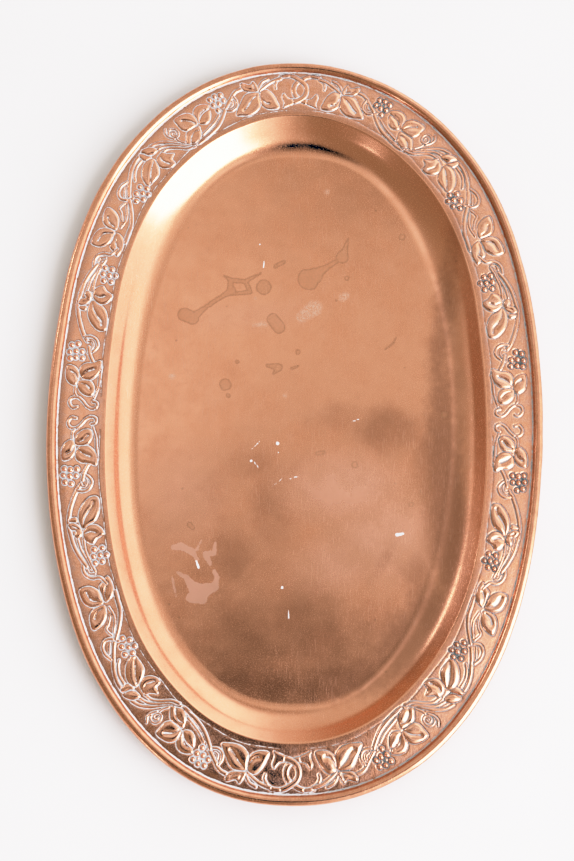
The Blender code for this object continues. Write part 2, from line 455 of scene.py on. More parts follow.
def leaf_five(q):
    q.move()
    q.lobe([(230, 16.4), (228.6, 13.4), (231, 12), (233.6, 13.4), (234.6, 10.6), (238.2, 9),
            (239.2, 12), (237, 15.4), (233.6, 17)])
    q.lobe([(239, 15), (239.8, 10), (242, 11), (242.2, 14.6)], 0.8)
    q.lobe([(229.8, 17.4), (225.4, 19), (223.4, 23), (226.4, 26), (228.6, 30.2), (232.4, 29.6),
            (235.6, 26.6), (236.2, 22.6), (233.6, 18.4)])
    q.lobe([(234, 17.8), (240, 15.8), (246, 16.8), (251.4, 20.6), (254.4, 25), (253.4, 29.2),
            (247.6, 29.8), (242, 28.6), (238, 26), (236.2, 21.6)])
    q.vein([(234.6, 18.2), (240, 19.4), (244.4, 22.4), (247.6, 25.4), (250.4, 26.2)], 0.5, 1.9)
    q.vein([(231.2, 19), (231.8, 22.4), (230.4, 25.4)], 0.4, 1.4)
    q.vein([(234.4, 15.6), (236.6, 12)], 0.4, 0.9)


def loop_five(q):
    q.move()
    q.band([(259.4, 17.4), (258.8, 21), (260.6, 24.6), (264.6, 26), (268, 24), (270, 20.4)], 1.9)
    q.band([(262.4, 19.4), (262, 22), (265, 23.2), (268, 21.6)], 1.2)
    q.band([(266, 20.4), (271, 21.8), (276.4, 24.6)], 2.2)
    q.grapes((269.2, 12.8), [(-3.6, -3), (0.8, -3.8), (4.8, -3), (-4.8, 0.6), (0, 0),
                             (4, 0.4), (0, 3.8), (4.2, 4.4)])


def leaf_six(q):
    q.move()
    q.band([(279, 30), (286, 29.4), (293, 29), (300, 27)], 1.8, 1.4)
    q.lobe([(283, 16.4), (279.6, 13.6), (279, 9), (284, 8.2), (289, 9.6), (292, 13.4), (291, 16),
            (287, 16.8)])
    q.lobe([(284.6, 17), (280, 16.8), (277, 20), (276.6, 24), (274.6, 29.2), (280, 30), (285, 28),
            (288, 24.4), (287.6, 19.4)])
    q.lobe([(288.4, 17.4), (291, 16.2), (295, 17.4), (298, 20.6), (298.8, 24.6), (296.6, 26.8),
            (292, 26.6), (288.6, 24)])
    q.vein([(285.6, 18.4), (282.8, 21.6), (280.8, 25.6)], 0.5, 1.6)
    q.vein([(287.4, 15.8), (284.6, 14.4), (283, 11.6)], 0.4, 1.1)
    q.vein([(290.4, 18.6), (291.6, 21.8), (294.4, 24.4)], 0.4, 1.1)


def side_scroll(q):
    """S scroll at the middle of the long side."""
    q.move()
    q.band([(305.4, 16.8), (305.8, 14), (302.8, 12), (299.8, 13.2), (299.2, 16.8), (301.6, 20),
            (304.6, 22.4), (306.4, 25.4), (305.4, 28.4), (302.6, 28.4), (301.8, 26)], 1.9)
    q.band([(292.4, 14.8), (296, 14.8), (298.4, 16)], 1.4)


MOTIFS = (end_scroll, leaf_one, loop_one, leaf_two, curl_two, leaf_three, grapes_two, leaf_four,
          loop_four, leaf_five, loop_five, leaf_six, side_scroll)


def soften(field, reach):
    """Gaussian blur, periodic around the rim."""
    taps = np.arange(-math.ceil(2.5 * reach / CELL), math.ceil(2.5 * reach / CELL) + 1)
    weights = np.exp(-0.5 * (taps * CELL / reach) ** 2)
    weights /= weights.sum()
    along = sum(w * np.roll(field, k, axis=1) for w, k in zip(weights, taps))
    padded = np.pad(along, ((len(taps), len(taps)), (0, 0)), mode="edge")
    across = sum(w * np.roll(padded, k, axis=0) for w, k in zip(weights, taps))
    return across[len(taps):-len(taps)]


def chased_border():
    """The whole border: one quarter's design drawn four times, mirrored, by hand."""
    relief = Relief()
    quarters = [
        Quarter(relief, 0, 1, 0.85),
        Quarter(relief, 2 * QUARTER, -1, 1.15),
        Quarter(relief, 2 * QUARTER, 1, 0.75),
        Quarter(relief, 4 * QUARTER, -1, 0.75),
    ]
    for motif in MOTIFS:
        for quarter in quarters:
            motif(quarter)
    for quarter in quarters:
        quarter.move()
        guide = [(along, GUIDE_LINE_INSET + 0.5 * math.sin(along / 9)) for along in range(10, 310, 12)]
        quarter.line(guide, 0.14, 0.4)
    matting = soften(RANDOM.normal(0, 1, relief.height.shape), 0.3)
    matting /= matting.std()
    insets = BAND_START + np.arange(relief.rows) * CELL
    field = smoothstep(6.5, 8.5, insets) * smoothstep(34.2, 32.0, insets)
    relief.height += 0.010 * matting * relief.ground * field[:, None]
    relief.height *= smoothstep(5.6, 7.2, insets)[:, None] * smoothstep(35.1, 33.6, insets)[:, None]
    hollow = soften(relief.height, 1.0) - relief.height
    relief.dirt = np.clip(relief.dirt * 0.8 + np.clip(hollow * 1.2, 0, 0.5), 0, 1.4)
    relief.back = 0.85 * soften(relief.height, 1.1)
    return relief


# ---------------------------------------------------------------- the pan's mesh

def arc(centre, radius, start, end, steps):
    """(inset, height) points on an arc; 0 degrees points outwards."""
    angles = np.radians(np.linspace(start, end, steps + 1))
    return [(centre[0] - radius * math.cos(a), centre[1] + radius * math.sin(a)) for a in angles]


class Section:
    """Key places of the sheet's section, on the middle of the sheet."""

    half = SHEET / 2
    slope = math.radians(WALL_ANGLE)
    cove_drop = COVE_RADIUS * (1 - math.cos(slope))
    wall_drop = WALL_RUN * math.tan(slope)
    shoulder_drop = SHOULDER_RADIUS * (1 - math.cos(slope))
    well_edge = half + cove_drop + wall_drop + shoulder_drop
    border = well_edge - BORDER_DROP
    roll = ROLL_OUTSIDE - half
    wire = (ROLL_OUTSIDE, border + ROLL_LIFT)
    foot_rise = FOOT_RADIUS - ROLL_LIFT
    foot_run = math.sqrt((roll + FOOT_RADIUS) ** 2 - foot_rise ** 2)
    lean = math.degrees(math.atan2(foot_rise, foot_run))
    foot = (ROLL_OUTSIDE + foot_run, border + FOOT_RADIUS)
    shoulder = (WELL_INSET, well_edge - SHOULDER_RADIUS)
    wall_foot = WELL_INSET + WALL_RUN + (SHOULDER_RADIUS + COVE_RADIUS) * math.sin(slope)
    cove = (wall_foot, half + COVE_RADIUS)
    wall_ends = (WELL_INSET + SHOULDER_RADIUS * math.sin(slope),
                 wall_foot - COVE_RADIUS * math.sin(slope), wall_foot)


def straight(start, end, steps=8):
    """Points between two (inset, height) points, without the ends."""
    return [tuple(point) for point in np.linspace(start, end, steps + 1)[1:-1]]


class Shell:
    """A closed skin grown ring by ring; neighbouring rings may differ by a whole factor."""

    def __init__(self):
        self.points = []
        self.faces = []
        self.marks = {"dirt": [], "ground": [], "brown": [], "border": []}
        self.last = None
        self.count = 0

    def ring(self, points, **marks):
        size = len(points)
        start = self.count
        self.points.append(points)
        for name, values in self.marks.items():
            values.append(np.broadcast_to(marks.get(name, 0.0), size).astype(float))
        if self.last is not None:
            self.join(*self.last, start, size)
        self.last = (start, size)
        self.count += size

    def join(self, start_a, size_a, start_b, size_b):
        if size_a == size_b:
            a = start_a + np.arange(size_a)
            b = start_b + np.arange(size_b)
            quads = np.column_stack([np.roll(a, -1), a, b, np.roll(b, -1)])
            self.faces.extend(quads.tolist())
            return
        fine_first = size_a > size_b
        fine, fine_size = (start_a, size_a) if fine_first else (start_b, size_b)
        coarse, coarse_size = (start_b, size_b) if fine_first else (start_a, size_a)
        ratio = fine_size // coarse_size
        for here in range(coarse_size):
            small = [fine + (here * ratio + k) % fine_size for k in range(ratio + 1)]
            large = [coarse + here, coarse + (here + 1) % coarse_size]
            self.faces.append(small[::-1] + large if fine_first else large[::-1] + small)

    def close(self):
        """Faces over the first ring and the last."""
        start, size = self.last
        self.faces.append(list(range(start, start + size))[::-1])
        self.faces.append(list(range(len(self.points[0]))))

    def mesh(self, name):
        points = np.vstack(self.points)
        mesh = bpy.data.meshes.new(name)
        mesh.from_pydata((points * MM).tolist(), [], self.faces)
        marks = {mark: np.concatenate(values) for mark, values in self.marks.items()}
        marks.update(floor_marks(points))
        for mark, values in marks.items():
            layer = mesh.attributes.new(mark, "FLOAT", "POINT")
            layer.data.foreach_set("value", values.astype(np.float32))
        mesh.shade_smooth()
        return mesh


PLACES = {stations: outline(stations) for stations in (FINE, COARSE, COARSE // 2)}


def plan(stations, inset):
    """Points in plan at an inset, with the hand's wander in and out."""
    run, points, normals = PLACES[stations]
    to_well = smoothstep(8, WELL_INSET, inset)
    to_cove = smoothstep(WELL_INSET, Section.wall_foot, inset)
    to_floor = smoothstep(Section.wall_foot, Section.wall_foot + 14, inset)
    shift = around(run, RIM_SWAY) * (1 - to_well)
    shift += around(run, WELL_SWAY) * to_well * (1 - to_cove)
    shift += around(run, COVE_SWAY) * to_cove * (1 - to_floor)
    shift += around(run, WALL_SWAY) * np.interp(inset, Section.wall_ends, (0, 1, 0))
    return run, points + (inset + shift)[:, None] * normals


def buckle(points):
    """Slow unevenness of the sheet; never negative, so that the pan stays on its base."""
    slow = ripple(points, 5, 170) * 0.22 + ripple(points, 6, 60) * 0.05
    hammer = ripple(points, 7, 13, 16) * 0.012 + ripple(points, 8, 24, 12) * 0.02
    return np.maximum(slow + hammer + 0.30, 0)


def sheet_ring(shell, stations, inset, height, lift=None, **marks):
    """One ring; lift replaces the buckling of the sheet."""
    _, points = plan(stations, np.full(stations, inset) if np.isscalar(inset) else inset)
    rise = buckle(points) * smoothstep(4, 12, inset) if lift is None else lift
    heights = np.broadcast_to(height + rise, stations)
    shell.ring(np.column_stack([points, heights]), **marks)


ROLL_BROWN = 0.6


def roll_rings(shell, radius, start, end, steps):
    """Rings around the wire; the outside is dented a little by the hammer."""
    dents = around(PLACES[COARSE][0], ROLL_DENTS) if radius > Section.roll else 0
    for angle in np.radians(np.linspace(start, end, steps + 1)):
        reach = radius + dents
        inset = Section.wire[0] - reach * math.cos(angle) + np.zeros(COARSE)
        sheet_ring(shell, COARSE, inset, Section.wire[1] + reach * math.sin(angle), 0.0,
                   brown=ROLL_BROWN)


def border_height(inset):
    """Middle of the sheet on the border, a little lower towards the rim."""
    t = np.clip((WELL_INSET - inset) / (WELL_INSET - Section.foot[0]), 0, 1)
    return Section.well_edge - BORDER_DROP * t


FLOOR_STEPS = 130
UNDERSIDE_STEPS = 50
CENTRE_SCALE = 0.02


def floor_rings(shell, height, steps, stations, outwards):
    """Shrinking copies of the floor's outline, with fewer stations near the middle."""
    scales = np.linspace(1, CENTRE_SCALE, steps + 1)[1:]
    _, edge = plan(stations, np.full(stations, Section.wall_foot))
    for scale in scales[::-1] if outwards else scales:
        halvings = int(np.clip(math.floor(-math.log2(scale)), 0, 5))
        points = edge[::2 ** halvings] * scale
        shell.ring(np.column_stack([points, height + buckle(points)]))


def underside(shell, relief):
    """From the middle of the floor out to the raw edge under the rim."""
    floor_rings(shell, 0.0, UNDERSIDE_STEPS, COARSE // 2, outwards=True)
    cove = arc(Section.cove, COVE_RADIUS + Section.half, WALL_ANGLE - 90, -90, 12)
    shoulder = arc(Section.shoulder, SHOULDER_RADIUS - Section.half, 90, 90 + WALL_ANGLE, 4)
    for inset, height in cove[::-1] + straight(cove[0], shoulder[-1]) + shoulder[::-1]:
        sheet_ring(shell, COARSE, inset, height)
    for inset in np.linspace(WELL_INSET, Section.foot[0], 34)[1:-1]:
        run, points = plan(COARSE, np.full(COARSE, inset))
        row = int(np.clip((inset - BAND_START) / CELL, 0, relief.rows - 1))
        column = (run / relief.pitch).astype(int) % relief.columns
        lift = buckle(points) * smoothstep(4, 12, inset) + relief.back[row, column]
        sheet_ring(shell, COARSE, inset, border_height(inset) - Section.half, lift)
    for inset, height in arc(Section.foot, FOOT_RADIUS + Section.half, -Section.lean, -90, 4)[::-1]:
        sheet_ring(shell, COARSE, inset, height)
    roll_rings(shell, Section.roll - Section.half, 180 - Section.lean, ROLL_END, 14)


FOOT_DIRT_REACH = 0.85


def foot_dirt(inset):
    """Polish packed along the foot of the roll."""
    return math.exp(-((inset - Section.foot[0]) / FOOT_DIRT_REACH) ** 2)


def margin(inset):
    """Darker brown towards the roll and towards the well."""
    return float(smoothstep(14, 7, inset) + 0.8 * smoothstep(27, 31.5, inset))


BORDER_RINGS = 74


def upper_side(shell, relief):
    """Outside of the roll, then over the border and down into the well."""
    roll_rings(shell, Section.roll + Section.half, ROLL_END, 180 - Section.lean, 26)
    for inset, height in arc(Section.foot, FOOT_RADIUS - Section.half, -Section.lean, -90, 4)[1:]:
        sheet_ring(shell, COARSE, inset, height, dirt=foot_dirt(inset))
    for inset in np.linspace(Section.foot[0], WELL_INSET, BORDER_RINGS)[1:-1]:
        run, points = plan(FINE, np.full(FINE, inset))
        height, dirt, ground = relief.at(run, inset)
        sheet_ring(shell, FINE, inset, border_height(inset) + Section.half,
                   buckle(points) * smoothstep(4, 12, inset) + height,
                   dirt=np.maximum(dirt, foot_dirt(inset)), ground=ground, brown=margin(inset),
                   border=float(smoothstep(5.5, 8, inset) * smoothstep(35, 33, inset)))
    shoulder = arc(Section.shoulder, SHOULDER_RADIUS + Section.half, 90, 90 + WALL_ANGLE, 8)
    cove = arc(Section.cove, COVE_RADIUS - Section.half, WALL_ANGLE - 90, -90, 28)
    for inset, height in shoulder + straight(shoulder[-1], cove[0]) + cove:
        sheet_ring(shell, COARSE, inset, height)
    floor_rings(shell, SHEET, FLOOR_STEPS, COARSE, outwards=False)


def pan_mesh(relief):
    shell = Shell()
    underside(shell, relief)
    upper_side(shell, relief)
    shell.close()
    return shell.mesh("copper_pan")


WIRE_SIDES = 12
WIRE_GAP = 0.6                  # left where the two ends meet


def wire_mesh():
    """The hoop inside the roll, following the sway of the rim."""
    _, middle = plan(COARSE, np.full(COARSE, Section.wire[0]))
    _, _, inward = PLACES[COARSE]
    radius = (wire_high[2] - wire_low[2]) / 2
    turn = np.linspace(0, 2 * math.pi, WIRE_SIDES, endpoint=False)
    # the ends meet at the far end of the tray, so the first point is moved off the seam
    middle = np.vstack([middle, middle[:1]])
    inward = np.vstack([inward, inward[:1]])
    middle[0, 0] += WIRE_GAP / 2
    middle[-1, 0] -= WIRE_GAP / 2
    points = []
    for place, way in zip(middle, inward):
        for angle in turn:
            reach = radius * math.cos(angle)
            height = Section.wire[1] + radius * math.sin(angle)
            points.append((place[0] + way[0] * reach, place[1] + way[1] * reach, height))
    faces = [list(range(WIRE_SIDES)), [len(points) - 1 - k for k in range(WIRE_SIDES)]]
    for ring in range(len(middle) - 1):
        for side in range(WIRE_SIDES):
            after = (side + 1) % WIRE_SIDES
            faces.append([ring * WIRE_SIDES + side, (ring + 1) * WIRE_SIDES + side,
                          (ring + 1) * WIRE_SIDES + after, ring * WIRE_SIDES + after])
    mesh = bpy.data.meshes.new("steel_hoop")
    mesh.from_pydata([tuple(value * MM for value in point) for point in points], [], faces)
    mesh.shade_smooth()
    return mesh


# ---------------------------------------------------------------- marks on the floor

# Strokes of (x, y, radius) in millimetres
TARNISH = [
    [(-70.5, 65.6, 4.4), (-65.5, 63.6, 4.2)],
    [(-64, 65, 2.6), (-57, 71, 1.5), (-47, 78, 1.6), (-41, 82, 2.6)],
    [(-45, 79.4, 1.2), (-29.5, 81, 1.5), (-32.4, 88, 1.5), (-42, 88.6, 1.7), (-42, 81, 2.4)],
    [(-46.2, 91.2, 0.7), (-42, 88.8, 1.6)],
    [(-33, 88, 1.6), (-23, 93.6, 0.7)],
    [(-21, 84.5, 4.9)],
    [(7.6, 90.4, 7.3), (11, 92.6, 5.2)],
    [(13, 94.6, 3.6), (19, 98.6, 1.8), (25, 102.4, 1.5)],
    [(28.6, 105.4, 4.3), (30.6, 111, 1.7), (32, 117.6, 0.6)],
    [(-14, 98.2, 1.4), (-8.4, 101.4, 1.3)],
    [(-15, 63.6, 4.0), (-11, 58.6, 4.0)],
    [(-44, 21.4, 3.8)],
    [(-42, 14.4, 1.5)],
    [(1, 43, 1.7)],
    [(-18, 34, 1.2), (-11, 33, 2.6), (-14, 29, 1.0)],
    [(-3, 32.4, 0.9), (1, 34, 0.8)],
    [(-37, 36, 1.5)],
    [(31.5, 91.4, 1.7)],
    [(66.8, 119.4, 2.3)],
    [(37, -27.6, 2.2)],
    [(13.6, -21, 1.2), (18, -20.2, 1.4)],
    [(93, 5, 2.3)],
    [(-64, -66, 1.6), (-62, -68, 1.4)],
    [(56, 46, 0.5), (61, 50, 0.7), (63, 54, 0.5)],
    [(78, -43.6, 0.9)],
    [(72, -51.6, 1.6)],
    [(84, -41, 0.8)],
]
CHALK = [
    [(3, 65.4, 3.2), (11, 71.4, 5.0)],
    [(29, 78.6, 2.6), (31, 80, 2.4)],
    [(-6.6, 15, 1.3)],
    [(-77, 26, 1.8)],
    [(18.6, 148.6, 1.6)],
    [(-27, 60, 1.0), (-20, 60.4, 1.4)],
    [(-26, 77.2, 0.8)],
]
BARE = [
    [(-74, -80, 1.4), (-69, -79.4, 2.3), (-62, -82.6, 2.0), (-59, -87, 1.2)],
    [(-56.6, -75.4, 0.4), (-59, -81, 1.0)],
    [(-48, -76.6, 0.7), (-48.6, -83, 1.5), (-53.6, -84, 2.2), (-51, -90, 1.0)],
    [(-71, -95, 0.8), (-65, -98.4, 1.8), (-61, -104, 3.4), (-55, -106, 4.2), (-49, -104, 3.0)],
    [(-48.6, -93.6, 1.0), (-46.6, -98, 1.5), (-47.6, -104, 2.0)],
    [(-62, -110, 3.2), (-55, -111, 3.0)],
    [(-73.6, -98.6, 0.7), (-71.2, -109.6, 0.5)],
]
SPECKS = [
    [(-11, -15, 1.1)],
    [(-27.2, -26.2, 0.8)],
    [(-25, -27, 0.4), (-22.4, -30.6, 0.3)],
    [(-7, -103.4, 0.9)],
    [(63, -70.4, 1.1), (67, -69.6, 0.7)],
    [(-59.4, -88, 0.5), (-58, -92, 0.8)],
    [(-3, -117, 0.2), (-2.8, -122, 0.4)],
    [(-3, -37, 0.3), (3, -34.8, 0.5)],
    [(-14, -42, 0.1), (-7, -36, 0.2)],
    [(35, -0.6, 0.3), (40, 1.4, 0.4)],
    [(-27, -19, 0.1), (-22, -14, 0.3)],
    [(-24, 112.6, 0.6)],
    [(-21.4, 97, 0.3), (-21, 101.4, 0.3)],
    [(-10.4, -20.6, 0.5)],
]
# Soft patches of (x, y, half length, half width, turn in degrees, strength)
CLOUDS = [
    (26, 3, 20, 10, 8, 0.55), (60, -5, 26, 13, -6, 0.75), (86, -18, 13, 26, 0, 0.75),
    (94, 36, 10, 66, -2, 0.75), (93, -62, 12, 62, 6, 1.0), (84, -112, 12, 26, 26, 0.9),
    (-50, -36, 15, 13, 20, 0.4), (-28, -28, 24, 13, -8, 0.55), (-15, -56, 13, 26, 4, 0.7),
    (-36, -84, 22, 16, 0, 0.5), (-66, -118, 12, 24, -30, 0.4),
    (-30, -132, 26, 20, 20, 0.7), (10, -128, 30, 22, 0, 0.75), (50, -130, 24, 18, -30, 0.7),
    (54, -88, 18, 3.2, 57, 0.4),
]
HAZE = [
    (30, -42, 30, 17, 0, 0.9), (58, -70, 28, 22, 0, 0.8), (26, -88, 22, 14, 20, 0.6),
    (-30, 66, 34, 8, 5, 0.3), (-68, -50, 20, 24, 0, 0.4),
]
# darker brown patches along the right side and across the lower end of the floor
BROWN = [
    (94, -45, 9, 75, 3, 1.0), (72, -132, 34, 13, 55, 1.0), (35, -158, 34, 10, 10, 0.9),
    (-15, -160, 30, 9, -6, 0.6), (92, 60, 6, 50, -6, 0.6),
]
FAR = 30.0


def nearest(points, strokes):
    """Distance from each point to the nearest stroke's edge, negative inside it."""
    best = np.full(len(points), FAR)
    for stroke in strokes:
        path = stroke if len(stroke) > 1 else stroke * 2
        best = np.minimum(best, clearance(points[:, 0], points[:, 1], path))
    return best


def soft_patches(points, patches):
    """Sum of soft ellipses, as 1 where fully covered."""
    total = np.zeros(len(points))
    for x, y, length, width, turn, strength in patches:
        c, s = math.cos(math.radians(turn)), math.sin(math.radians(turn))
        along = ((points[:, 0] - x) * c + (points[:, 1] - y) * s) / length
        across = ((points[:, 1] - y) * c - (points[:, 0] - x) * s) / width
        total = np.maximum(total, strength * smoothstep(1.9, 0.25, np.hypot(along, across)))
    return total


def floor_marks(points):
    """The marks' distances, kept as smooth values that the material cuts crisply."""
    above = points[:, 2] > SHEET / 2
    marks = {name: np.where(above, nearest(points, strokes), FAR)
             for name, strokes in (("tarnish", TARNISH), ("chalk", CHALK), ("bare", BARE),
                                   ("speck", SPECKS))}
    marks["cloud"] = above * soft_patches(points, CLOUDS)
    marks["haze"] = above * soft_patches(points, HAZE)
    marks["brown_patch"] = above * soft_patches(points, BROWN)
    return marks


# ---------------------------------------------------------------- materials

class Graph:
    """Short calls for wiring the nodes of a material or of the world."""

    def __init__(self, tree):
        self.tree = tree

    def node(self, kind, inputs=None, **settings):
        made = self.tree.nodes.new("ShaderNode" + kind)
        for name, value in settings.items():
            setattr(made, name, value)
        for key, value in (inputs or {}).items():
            self.feed(made.inputs[key], value)
        return made

    def feed(self, socket, value):
        if isinstance(value, bpy.types.NodeSocket):
            self.tree.links.new(value, socket)
        else:
            socket.default_value = value

    def math(self, operation, *values, clamp=False):
        inputs = dict(enumerate(values))
        return self.node("Math", inputs, operation=operation, use_clamp=clamp).outputs[0]

    def vector(self, operation, *values):
        inputs = dict(enumerate(values))
        made = self.node("VectorMath", inputs, operation=operation)
        return made.outputs["Value" if operation in ("DISTANCE", "DOT_PRODUCT", "LENGTH") else "Vector"]

    def attribute(self, name):
        return self.node("Attribute", attribute_name=name).outputs["Fac"]

    def step(self, value, low, high, to_low=0.0, to_high=1.0):
        inputs = {"Value": value, "From Min": low, "From Max": high,
                  "To Min": to_low, "To Max": to_high}
        return self.node("MapRange", inputs, interpolation_type="SMOOTHSTEP").outputs["Result"]

    def noise(self, place, scale, detail=3.0, roughness=0.5, distortion=0.0):
        inputs = {"Vector": place, "Scale": scale, "Detail": detail,
                  "Roughness": roughness, "Distortion": distortion}
        return self.node("TexNoise", inputs).outputs["Fac"]

    def colour(self, factor, a, b, blend="MIX"):
        made = self.node("Mix", data_type="RGBA", blend_type=blend)
        for socket, value in zip((made.inputs[0], made.inputs[6], made.inputs[7]), (factor, a, b)):
            self.feed(socket, value)
        return made.outputs[2]

    def add(self, *values):
        total = values[0]
        for value in values[1:]:
            total = self.math("ADD", total, value)
        return total

    def times(self, a, b):
        return self.math("MULTIPLY", a, b)


COPPER = (0.80, 0.365, 0.205, 1)
COPPER_DEEP = (0.74, 0.30, 0.15, 1)
COPPER_PINK = (0.86, 0.46, 0.32, 1)
CLOUDY = (0.40, 0.17, 0.088, 1)
BROWNED = (0.36, 0.155, 0.085, 1)
TARNISHED = (0.44, 0.21, 0.10, 1)
TARNISH_RIM = (0.27, 0.13, 0.065, 1)
CHALK_WHITE = (0.72, 0.73, 0.71, 1)
# painted shade: the shaded copy of the polish colour
CHALK_SHADED = (0.22, 0.23, 0.20, 1)
# painted shade in the deepest hollows
CHALK_DEEP_SHADE = (0.055, 0.08, 0.075, 1)
BLOOM = (0.74, 0.76, 0.76, 1)
CHALK_FILM = (0.46, 0.36, 0.27, 1)
STEEL = (0.42, 0.41, 0.39, 1)
STEEL_DARK = (0.25, 0.24, 0.23, 1)
RUST = (0.20, 0.075, 0.03, 1)
FLOOR_SHADE = (0.80, 0.78, 0.73, 1)
FLOOR_LIGHT = (0.86, 0.84, 0.80, 1)
BUMP_STRENGTH = 0.6


def new_material(name):
    material = bpy.data.materials.new(name)
    material.use_nodes = True
    return material, Graph(material.node_tree), material.node_tree.nodes["Principled BSDF"]


def millimetres(graph, stretch=(1, 1, 1)):
    """Place on the object in millimetres, stretched along its axes."""
    place = graph.node("TexCoord").outputs["Object"]
    return graph.vector("MULTIPLY", place, tuple(s / MM for s in stretch))


def cut(graph, mark, ragged, softness, shift=0.0):
    """1 inside a mark, 0 outside, with an edge roughened by noise."""
    distance = graph.math("ADD", graph.attribute(mark), ragged)
    return graph.step(distance, softness + shift, -softness + shift)


def scratches(graph, seed, turn, length, width, low):
    """Thin streaks of stretched noise running at an angle."""
    place = graph.node("Mapping", {"Vector": millimetres(graph), "Rotation": (0, 0, math.radians(turn)),
                                   "Location": (seed, 0, 0), "Scale": (1 / width, 1 / length, 1)})
    streak = graph.noise(place.outputs[0], 1.0, 1.0, 0.5)
    return graph.step(streak, low, low + 0.06)


def copper_material():
    """Polished copper under tarnish, stains, scratches and packed polish."""
    material, graph, shader = new_material("worn_copper")
    place = millimetres(graph)
    grain = graph.noise(place, 0.9, 4.0)
    blotch = graph.noise(place, 0.055, 4.0, 0.6)
    wide = graph.noise(place, 0.011, 2.0)
    ragged = graph.math("MULTIPLY_ADD", graph.noise(place, 0.45, 3.0, 0.6), 3.2, -1.6)

    patchy = graph.noise(place, 0.22, 3.0, 0.6)
    hazed = graph.step(graph.noise(place, 2.6, 1.0), 0.60, 0.72)

    tone = graph.step(graph.add(graph.times(blotch, 0.6), graph.times(wide, 0.4)), 0.38, 0.66)
    colour = graph.colour(graph.times(tone, 0.5), COPPER, COPPER_DEEP)
    haze = graph.times(graph.attribute("haze"), graph.step(blotch, 0.3, 0.6, 0.5, 1.0))
    pink = graph.add(graph.step(grain, 0.5, 0.75, 0, 0.12), graph.times(haze, 0.6))
    colour = graph.colour(pink, colour, COPPER_PINK)
    drift = graph.noise(place, 0.030, 3.0, 0.55, 0.6)
    cloud = graph.add(graph.attribute("cloud"), graph.math("MULTIPLY_ADD", blotch, 0.5, -0.25),
                      graph.math("MULTIPLY_ADD", drift, 1.1, -0.55))
    cloud = graph.times(graph.step(cloud, 0.05, 1.0), graph.step(grain, 0.3, 0.7, 1.0, 0.85))
    colour = graph.colour(graph.times(cloud, 0.8), colour, CLOUDY)

    # darker brown in the hollows, in bands along the roll and the well, and in patches towards the right
    # and the lower end of the floor
    browned = graph.math("MULTIPLY_ADD", patchy, 0.6, -0.3)
    browned = graph.add(graph.attribute("dirt"), graph.times(graph.attribute("brown"), 0.45),
                       graph.times(graph.attribute("brown_patch"), 0.7), browned)
    colour = graph.colour(graph.times(graph.step(browned, 0.0, 0.7), 0.75), colour, BROWNED)

    tarnish = cut(graph, "tarnish", graph.times(ragged, 0.5), 0.5)
    rim = graph.math("SUBTRACT", tarnish, cut(graph, "tarnish", graph.times(ragged, 0.5), 0.5, -0.7))
    colour = graph.colour(graph.times(tarnish, graph.step(grain, 0.3, 0.7, 0.15, 0.40)), colour, TARNISHED)
    colour = graph.colour(graph.times(rim, 0.42), colour, TARNISH_RIM)
    film = graph.times(cut(graph, "chalk", ragged, 1.2), graph.step(grain, 0.35, 0.65, 0.1, 0.55))
    colour = graph.colour(film, colour, CHALK_FILM)
    bloom = graph.times(graph.attribute("border"), graph.step(patchy, 0.3, 0.7, 0.0, 0.10))
    colour = graph.colour(bloom, colour, BLOOM)
    film = graph.math("MAXIMUM", film, bloom)
    bare = cut(graph, "bare", graph.times(ragged, 0.7), 0.2)
    colour = graph.colour(graph.times(bare, 0.8), colour, COPPER_PINK)

    spots = graph.node("TexVoronoi", {"Vector": place, "Scale": 0.16}, feature="F1")
    pick = graph.node("SeparateColor", {"Color": spots.outputs["Color"]}).outputs[0]
    spot_size = graph.step(pick, 0.72, 1.0, 0.0, 0.13)
    spot = graph.step(graph.math("SUBTRACT", spots.outputs["Distance"], spot_size), 0.02, -0.03)
    spot = graph.times(spot, graph.step(blotch, 0.45, 0.6))
    colour = graph.colour(graph.times(spot, 0.5), colour, TARNISH_RIM)

    lines = [scratches(graph, seed, turn, length, width, low)
             for seed, turn, length, width, low in SCRATCHES]
    scratch = graph.math("MAXIMUM", lines[0], lines[1])
    for line in lines[2:]:
        scratch = graph.math("MAXIMUM", scratch, line)
    scratch = graph.times(scratch, graph.step(wide, 0.35, 0.6, 0.35, 1.0))
    colour = graph.colour(graph.times(scratch, 0.30), colour, COPPER_PINK)

    # polish packed in the hollows, with painted light and shade: paler towards the left where it faces the
    # light, greyer towards the right, and painted dark shade where it lies deep
    # painted light: 1 towards the left, where the polish is painted as lit, 0 towards the right, where it
    # is painted as shaded
    lit_side = graph.node("SeparateXYZ", {"Vector": place}).outputs["X"]
    lit_side = graph.add(lit_side, graph.math("MULTIPLY_ADD", wide, 240.0, -120.0))
    lit_side = graph.step(lit_side, 70.0, -50.0)
    # a little more polish shows towards the left, as painted light
    packed = graph.add(graph.attribute("dirt"), graph.math("MULTIPLY_ADD", grain, 0.6, -0.30),
                       graph.math("MULTIPLY_ADD", patchy, 0.9, -0.45), graph.times(lit_side, 0.06))
    residue = graph.step(packed, 0.68, 0.94)
    matted = graph.times(graph.attribute("ground"), graph.step(graph.noise(place, 1.7, 3.0), 0.60, 0.74))
    # the matted polish shows more towards the left, as painted light
    residue = graph.math("MAXIMUM", residue, graph.times(matted, graph.step(lit_side, 0, 1, 0.10, 0.25)))
    # painted shade: where the polish lies deep it is painted dark, more so towards the right
    deep_shade = graph.times(graph.step(packed, 0.90, 1.20), graph.step(lit_side, 0.2, 1.0, 1.0, 0.25))
    # painted light and shade: a lit and a shaded copy of the polish colour
    chalk = graph.colour(graph.step(lit_side, 0.0, 0.8, 0.35, 1.0), CHALK_SHADED, CHALK_WHITE)
    chalk = graph.colour(deep_shade, chalk, CHALK_DEEP_SHADE)
    speck = cut(graph, "speck", graph.times(ragged, 0.25), 0.15)
    colour = graph.colour(residue, colour, chalk)
    colour = graph.colour(speck, colour, CHALK_WHITE)
    covered = graph.math("MAXIMUM", residue, speck)

